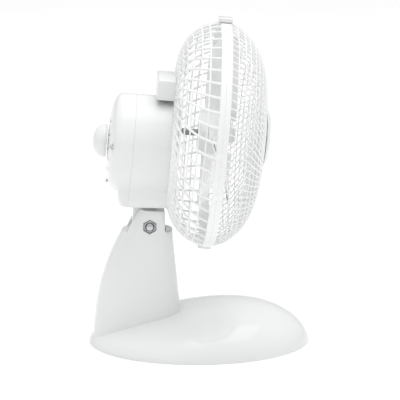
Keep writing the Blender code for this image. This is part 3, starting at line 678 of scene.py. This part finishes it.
def cover_profile():
    """(forward, radius, depth) of the rear cover from its flat end to the seam."""
    dome = 16.4 * MM
    skirt_round = 10.3 * MM
    rows = []
    for step in range(1, 22):
        turn = math.pi / 2 * (1 - step / 22)
        forward = COVER_END + dome * (1 - math.sin(turn) ** (2 / 2.5))
        radius = BARREL_RADIUS * math.cos(turn) ** (2 / 3.2)
        rows.append((forward, radius, radius))
    for step in range(0, 13):
        turn = math.pi / 2 * step / 12
        forward = COVER_END + dome + skirt_round * (1 - math.cos(turn) ** (2 / 2.2))
        depth = BARREL_RADIUS + (SKIRT_DEPTH_REAR - BARREL_RADIUS) * math.sin(turn) ** (2 / 2.2)
        rows.append((forward, BARREL_RADIUS, depth))
    for forward, inset in ((-96.2 * MM, 0), (-96.05 * MM, 0.15 * MM)):
        rows.append((forward, BARREL_RADIUS - inset, skirt_depth(forward) - inset))
    return rows


def vent_slots():
    """Rows of slots with round ends, either side of the knob."""
    vent_circle = 38 * MM
    meshes = []
    for row in range(-2, 3):
        up = row * 14 * MM
        outer = math.sqrt(vent_circle ** 2 - up ** 2)
        inner = 24 * MM if abs(row) < 2 else 6 * MM
        for side in (-1, 1):
            radius = 1.2 * MM
            outline = arc((outer - radius, 0), radius, -90, 90, 8)
            outline += arc((inner + radius, 0), radius, 90, 270, 8)
            place = HEAD @ Matrix.Translation((0, up - BARREL_DROP, -0.120))
            if side < 0:
                place = place @ Matrix.Rotation(math.pi, 4, "Z")
            meshes.append(plate("vent", outline, 0.020, place))
    return meshes


def make_rear_cover():
    """The cover with its vent slots, the baffle behind them and its three screws."""
    wall = 2.5 * MM
    outside = cover_profile()
    rows = [housing_section(*row) for row in outside]
    inside = [(max(forward, COVER_END + wall), radius - wall, depth - wall)
              for forward, radius, depth in outside if radius > 3 * wall]
    rows += [housing_section(*row) for row in reversed(inside)]
    verts, faces = skin(rows, cap_start=True, cap_end=True)
    cover = add("housing_rear", mesh_of("housing_rear", verts, faces, HEAD), WHITE, 40)
    for mesh in vent_slots():
        carve(cover, mesh)
    cover.data.set_sharp_from_angle(angle=math.radians(40))
    finish(cover, "head", "white_plastic", "rear_cover")
    profile = [(0, -0.1222), (0.030, -0.1222), (0.046, -0.1185), (0.046, -0.1175), (0, -0.1205)]
    baffle = lathe("vent_baffle", profile, HEAD @ Matrix.Translation((0, -BARREL_DROP, 0)), 64)
    finish(add("vent_baffle", baffle, SATIN_WHITE, 35), "head", "white_plastic")

    over = Matrix.Rotation(math.pi, 4, "X")
    places = {"left": (-0.0495, 0.0045, -0.1214), "right": (0.0495, 0.0045, -0.1214),
              "bottom": (0, -0.0480, -0.1224)}
    for label, (x, up, forward) in places.items():
        place = HEAD @ Matrix.Translation((x, up - BARREL_DROP, forward)) @ over
        screw = pan_head(f"housing_screw_{label}", 3 * MM, 1.6 * MM, place)
        finish(screw, "head", "steel", f"cover_screw_{label}")


def make_knob():
    """The dome with a thin skirt groove and a low pointer ridge."""
    profile = [(0, -0.1262), (3 * MM, -0.1262)]
    profile += [(18.7 * MM, -0.1266), (19.4 * MM, -0.1270), (19.5 * MM, -0.1278)]
    profile += [(19.0 * MM, -0.1281), (19.0 * MM, -0.1285), (19.45 * MM, -0.1288)]
    for step in range(1, 17):
        turn = math.pi / 2 * step / 16
        profile.append((19.45 * MM * math.cos(turn) ** 0.92,
                        -0.1288 - 14.1 * MM * math.sin(turn)))
    profile[-1] = (0, -0.1429)
    centre = HEAD @ Matrix.Translation((0, -BARREL_DROP, 0))
    knob = add("knob_dome", lathe("knob_dome", profile, centre, 96), WHITE, 50)
    carve(knob, block("pointer", (0, 0.0185, -0.1300), (1.6 * MM, 1.6 * MM, 3.6 * MM), 0.5 * MM,
                      centre, 2), "UNION")
    finish(knob, "knob", "white_plastic", "speed_knob")


def make_tilt_lug():
    """The tongue under the housing that sits between the clevis ears."""
    up, forward = PIVOT_IN_HEAD.y, PIVOT_IN_HEAD.z
    outline = [(-21 * MM, 33 * MM), (-21 * MM, 1.5 * MM), (-18 * MM, -3 * MM)]
    outline += arc((0, 0), 12 * MM, 222, 360, 16)
    outline += [(9 * MM, 12 * MM), (9 * MM, 33 * MM)]
    place = HEAD @ Matrix.Translation((0, up, forward)) @ Matrix.Rotation(-math.pi / 2, 4, "Y")
    lug = add("clevis_tongue", plate("clevis_tongue", outline, 22.4 * MM, place, 1.0 * MM),
              WHITE, 40)
    finish(lug, "head", "white_plastic", "tilt_lug")


def make_carry_grip():
    """The hollow block over the barrel, against the back of the guard."""
    low, high = 40.5 * MM, 64.8 * MM
    rear, front = -73.6 * MM, -51.6 * MM
    centre = (0, (low + high) / 2, (rear + front) / 2)
    size = (60 * MM, high - low, front - rear)
    grip = add("grip_block", block("grip_block", centre, size, 2.6 * MM, HEAD, 5), WHITE, 40)
    room = block("room", (0, low + 7.5 * MM, centre[2]), (55 * MM, 26 * MM, 17 * MM), 1.5 * MM, HEAD)
    carve(grip, room)
    finish(grip, "head", "white_plastic", "carry_grip")


# ---------------------------------------------------------------- guards

def guard_profile(depth, flat, round_, start, hub):
    """(forward, radius) along a guard from its rim to its hub, a superellipse."""
    step = 2.5 * MM
    fine = []
    for index in range(2001):
        turn = math.pi / 2 * index / 2000
        fine.append((depth * math.sin(turn) ** (2 / flat),
                     RIM_RADIUS * max(0.0, math.cos(turn)) ** (2 / round_)))
    sign = math.copysign(1, depth)
    kept = [(s, r) for s, r in fine if sign * s >= start and r >= hub]
    return even_path(kept, step)


def outward(path, index):
    """The profile's outward normal as (radial, forward)."""
    before = path[max(index - 1, 0)]
    after = path[min(index + 1, len(path) - 1)]
    along = Vector((after[1] - before[1], after[0] - before[0])).normalized()
    normal = Vector((along.y, -along.x))
    if normal.dot(Vector((path[index][1], path[index][0]))) < 0:
        normal.negate()
    return normal


def add_ribs(lattice, path, count, twist, width, depth):
    """Ribs from the rim to the hub, each turned by the twist on its way in."""
    for rib in range(count):
        points = []
        normals = []
        for index, (forward, radius) in enumerate(path):
            angle = 2 * math.pi * rib / count + twist * (1 - radius / RIM_RADIUS)
            radial = Vector((math.cos(angle), math.sin(angle), 0))
            slope = outward(path, index)
            points.append(radial * radius + Vector((0, 0, forward)))
            normals.append(radial * slope.x + Vector((0, 0, slope.y)))
        lattice.rib(points, normals, width, depth)


def add_rings(lattice, path, spacing, first, width, depth):
    """Rings evenly spaced along the profile."""
    along = 0.0
    due = first
    for index in range(1, len(path)):
        along += math.dist(path[index - 1], path[index])
        if along < due:
            continue
        slope = outward(path, index)
        lattice.ring(path[index][0], path[index][1], slope, width, depth)
        due += spacing


def flange_profile(sign):
    """The rim's band with a small lip: (radius, forward), going round."""
    corners = [(129.4, 0.03), (133.1, 0.03), (133.3, 0.2), (133.3, 5.4), (132.3, 6.4),
               (130.4, 6.4), (129.4, 5.4)]
    return [(radius * MM, sign * forward * MM) for radius, forward in corners]


def make_rear_guard():
    """Ribs and rings of the rear half, its rim and the plate round the housing's nose."""
    lattice = Lattice()
    path = guard_profile(REAR_DEPTH, REAR_FLAT, REAR_ROUND, 4 * MM, 30 * MM)
    add_ribs(lattice, path, 48, math.radians(-45), 2.6 * MM, 2.8 * MM)
    add_rings(lattice, path, 11.0 * MM, 13 * MM, 1.8 * MM, 1.7 * MM)
    cage = add("rear_cage", lattice.mesh("rear_cage"), GUARD_WHITE, 40)
    finish(cage, "head", "white_plastic", "rear_guard")
    flange = lathe("rear_rim", flange_profile(-1), HEAD, 192, loop=True)
    finish(add("rear_rim", flange, GUARD_WHITE, 40), "head", "white_plastic")
    hub = [(26.5, -53.1), (36.6, -53.1), (37.4, -52.4), (37.4, -50.6), (36.6, -50.9), (26.5, -50.9)]
    profile = [(radius * MM, forward * MM) for radius, forward in hub]
    finish(add("rear_hub_plate", lathe("rear_hub_plate", profile, HEAD, 96, loop=True),
               GUARD_WHITE, 40), "head", "white_plastic")


def make_front_guard():
    """Ribs and rings of the front half, its rim and the plate under the badge."""
    lattice = Lattice()
    path = guard_profile(55.4 * MM, 1.75, 3.7, 4 * MM, 33 * MM)
    add_ribs(lattice, path, 84, math.radians(55), 1.3 * MM, 1.8 * MM)
    add_rings(lattice, path, 9.0 * MM, 9 * MM, 1.2 * MM, 1.5 * MM)
    cage = add("front_cage", lattice.mesh("front_cage"), GUARD_WHITE, 40)
    finish(cage, "head", "white_plastic", "front_guard")
    flange = lathe("front_rim", flange_profile(1), HEAD, 192, loop=True)
    finish(add("front_rim", flange, GUARD_WHITE, 40), "head", "white_plastic")
    disc = [(9, 55.6), (36, 54.9), (37, 55.6), (36.6, 56.9), (9, 57.5)]
    profile = [(radius * MM, forward * MM) for radius, forward in disc]
    finish(add("front_hub_plate", lathe("front_hub_plate", profile, HEAD, 96, loop=True),
               GUARD_WHITE, 40), "head", "white_plastic")


def make_badge():
    """A plain dished disc with two fine steps, and nothing printed on it."""
    profile = [(0, 63.4), (14, 63.3), (22, 62.9), (27.5, 62.2), (28.3, 61.6), (29.0, 61.6),
               (31.0, 60.8), (32.4, 60.0), (33.0, 59.0), (33.0, 58.1), (8, 58.1), (8, 54.0), (0, 54.0)]
    profile = [(radius * MM, forward * MM) for radius, forward in profile]
    badge = add("front_badge", lathe("front_badge", profile, HEAD, 96), WHITE, 25)
    finish(badge, "head", "white_plastic", "badge")


def make_guard_nut():
    """Ring nut with finger scallops round its edge."""
    rows = []
    for radius_share, forward in ((0, -50.5), (1, -50.5), (1, -44.3), (0.9, -43.5), (0, -43.5)):
        row = []
        for index in range(240):
            angle = 2 * math.pi * index / 240
            outer = 33.0 - 0.9 * (0.5 + 0.5 * math.cos(20 * angle)) ** 3
            radius = (24.7 + (outer - 24.7) * radius_share) * MM
            row.append((radius * math.cos(angle), radius * math.sin(angle), forward * MM))
        rows.append(row)
    verts, faces = skin(rows, loop=True)
    nut = add("guard_ring_nut", mesh_of("guard_ring_nut", verts, faces, HEAD), SATIN_WHITE, 35)
    finish(nut, "head", "white_plastic", "guard_nut")


def make_clips():
    """The two clips over the rim: the outline is (forward, up) in millimetres."""
    outline = [(-8.6, 138.0), (-8.6, 131.9), (-6.9, 131.9), (-6.9, 134.0), (5.6, 134.0),
               (5.6, 131.9), (7.4, 131.9), (7.4, 137.4), (6.4, 138.6), (-8.0, 138.6)]
    for side, label in ((1, "top"), (-1, "bottom")):
        points = [(forward * MM, up * MM) for forward, up in outline]
        upright = Matrix(((0, 0, 1, 0), (0, 1, 0, 0), (1, 0, 0, 0), (0, 0, 0, 1)))
        turn = Matrix.Identity(4) if side > 0 else Matrix.Rotation(math.pi, 4, "Z")
        mesh = plate(f"rim_clip_{label}", points, 16 * MM, HEAD @ turn @ upright, 0.4 * MM)
        clip = add(f"rim_clip_{label}", mesh, WHITE, 35)
        finish(clip, f"clip_{label}", "white_plastic", f"guard_clip_{label}")


# ---------------------------------------------------------------- fan

BLADE_RADIUS = 115 * MM
BLADE_ROOT = 23.8 * MM


def blade_rows(turn, lift):
    """One blade's surface from the hub to the tip, offset along the axis by lift."""
    rows = []
    for row in range(33):
        share = row / 32
        radius = BLADE_ROOT + (BLADE_RADIUS - BLADE_ROOT) * share
        half_width = math.radians(26 + 22 * math.sin(math.pi * min(1, share + 0.18)))
        sweep = math.radians(-14) * share
        pitch = 0.034 - 0.004 * share
        line = []
        for column in range(33):
            across = 2 * column / 32 - 1
            tip_round = 1 - 0.10 * share * across ** 4
            angle = turn + sweep + half_width * across
            camber = 0.004 * (1 - across ** 2)
            thin = lift * (1 - 0.6 * abs(across) ** 6)
            forward = 0.0035 + pitch / 2 * across + camber + thin
            line.append((radius * tip_round * math.cos(angle),
                         radius * tip_round * math.sin(angle), forward))
        rows.append(line)
    return rows


def make_blades():
    """The rotor: three twisted blades, their hub and the nut that holds it."""
    verts = []
    faces = []
    for number in range(3):
        turn = 2 * math.pi * number / 3 + math.pi / 2
        front = blade_rows(turn, 0.9 * MM)
        back = blade_rows(turn, -0.9 * MM)
        loops = [front_row + back_row[::-1] for front_row, back_row in zip(front, back)]
        made, joined = skin(loops, cap_start=True, cap_end=True)
        start = len(verts)
        verts += made
        faces += [tuple(start + index for index in face) for face in joined]
    blades = add("rotor_blades", mesh_of("rotor_blades", verts, faces, HEAD), BLADE_WHITE_PAINTED_LIGHT, 45)
    finish(blades, "fan", "blade_plastic", "fan_blade")
    hub = [(4.3, 8), (19.5, 8), (22.2, 7.4), (24.0, 5.8), (25.0, 3.0), (25.5, -19.4), (24.9, -20),
           (8, -20), (7, -19.4), (4.3, -19.4)]
    profile = [(radius * MM, forward * MM) for radius, forward in hub]
    finish(add("rotor_hub", lathe("rotor_hub", profile, HEAD, 96, loop=True), BLADE_WHITE_PAINTED_LIGHT, 35),
           "fan", "blade_plastic")
    nut = [(0, 24), (4, 23.7), (8, 22.4), (11, 20), (13, 16.5), (14, 12), (14, 8.3), (4.3, 8.3),
           (4.3, 16.5), (0, 16.5)]
    profile = [(radius * MM, forward * MM) for radius, forward in nut]
    spinner = add("spinner", lathe("spinner", profile, HEAD, 64), WHITE, 35)
    finish(spinner, "fan", "white_plastic", "hub_nut")


# ---------------------------------------------------------------- carried-over CAD nodes

def dress(material, *nodes):
    """Give nodes that are kept as they come from the CAD their material."""
    for name in nodes:
        mesh = frame["nodes"][name].data
        mesh.materials.clear()
        mesh.materials.append(material)


def dress_cad_nodes():
    dress(SATIN_WHITE, "base_plate", "cord_inlet")
    dress(STEEL, "column_screw_front", "column_screw_rear", "tilt_washer_left",
          "tilt_washer_right", "lug_screw_left", "lug_screw_right", "bracket_screw_left",
          "bracket_screw_right")
    dress(BLACK, "friction_disc_left", "friction_disc_right", "run_capacitor", "speed_switch",
          "thrust_washer_front", "thrust_washer_rear")
    dress(CORE, "stator_core", "rotor_core")
    dress(COPPER, "winding_front", "winding_rear")
    dress(BRACKET, "end_bracket_front", "end_bracket_rear")
    dress(BRONZE, "bush_front", "bush_rear")
    dress(SHAFT_STEEL, "fan_shaft")


# ---------------------------------------------------------------- studio

def make_floor():
    """A wide sheet at z = 0."""
    bm = bmesh.new()
    bmesh.ops.create_grid(bm, x_segments=1, y_segments=1, size=30)
    mesh = bpy.data.meshes.new("floor")
    bm.to_mesh(mesh)
    bm.free()
    add("floor", mesh, floor_material())


def add_area_light(name, place, target, size, power):
    light = bpy.data.lights.new(name, "AREA")
    light.shape = "RECTANGLE"
    light.size = size[0]
    light.size_y = size[1]
    light.energy = power
    obj = bpy.data.objects.new(name, light)
    bpy.context.scene.collection.objects.link(obj)
    obj.location = place
    obj.rotation_euler = (Vector(target) - Vector(place)).to_track_quat("-Z", "Y").to_euler()


def make_lights():
    """A white sky that is brighter overhead, and one large soft light above the fan."""
    horizon = 0.45
    zenith = 1.40
    world = bpy.data.worlds.new("studio")
    bpy.context.scene.world = world
    world.use_nodes = True
    background = world.node_tree.nodes["Background"]
    background.inputs["Color"].default_value = (1, 1, 1, 1)
    place = world.node_tree.nodes.new("ShaderNodeTexCoord")
    split = world.node_tree.nodes.new("ShaderNodeSeparateXYZ")
    fade = world.node_tree.nodes.new("ShaderNodeMapRange")
    fade.inputs["To Min"].default_value = horizon
    fade.inputs["To Max"].default_value = zenith
    world.node_tree.links.new(place.outputs["Generated"], split.inputs["Vector"])
    world.node_tree.links.new(split.outputs["Z"], fade.inputs["Value"])
    world.node_tree.links.new(fade.outputs["Result"], background.inputs["Strength"])
    add_area_light("overhead", (0, -0.3, 2.0), (0, -0.1, 0.1), (1.4, 1.4), 7)


def make_camera():
    """Side view from a little behind and above, as a long lens sees it."""
    azimuth = math.radians(2.5)
    elevation = math.radians(14.5)
    distance = 2.5
    target = Vector((0, -0.001, 0.173))
    towards = Vector((-math.cos(azimuth) * math.cos(elevation),
                      math.sin(azimuth) * math.cos(elevation), math.sin(elevation)))
    data = bpy.data.cameras.new("camera")
    data.lens = 190
    data.sensor_width = 36
    camera = bpy.data.objects.new("camera", data)
    bpy.context.scene.collection.objects.link(camera)
    camera.location = target + distance * towards
    camera.rotation_euler = (-towards).to_track_quat("-Z", "Y").to_euler()
    bpy.context.scene.camera = camera
    bpy.context.scene.view_settings.view_transform = "Standard"


make_camera()
make_floor()
make_lights()
make_base()
make_column()
make_base_fittings()
make_clevis_bolt()
make_motor_shell()
make_rear_cover()
make_knob()
make_tilt_lug()
make_carry_grip()
make_rear_guard()
make_front_guard()
make_badge()
make_guard_nut()
make_clips()
make_blades()
dress_cad_nodes()
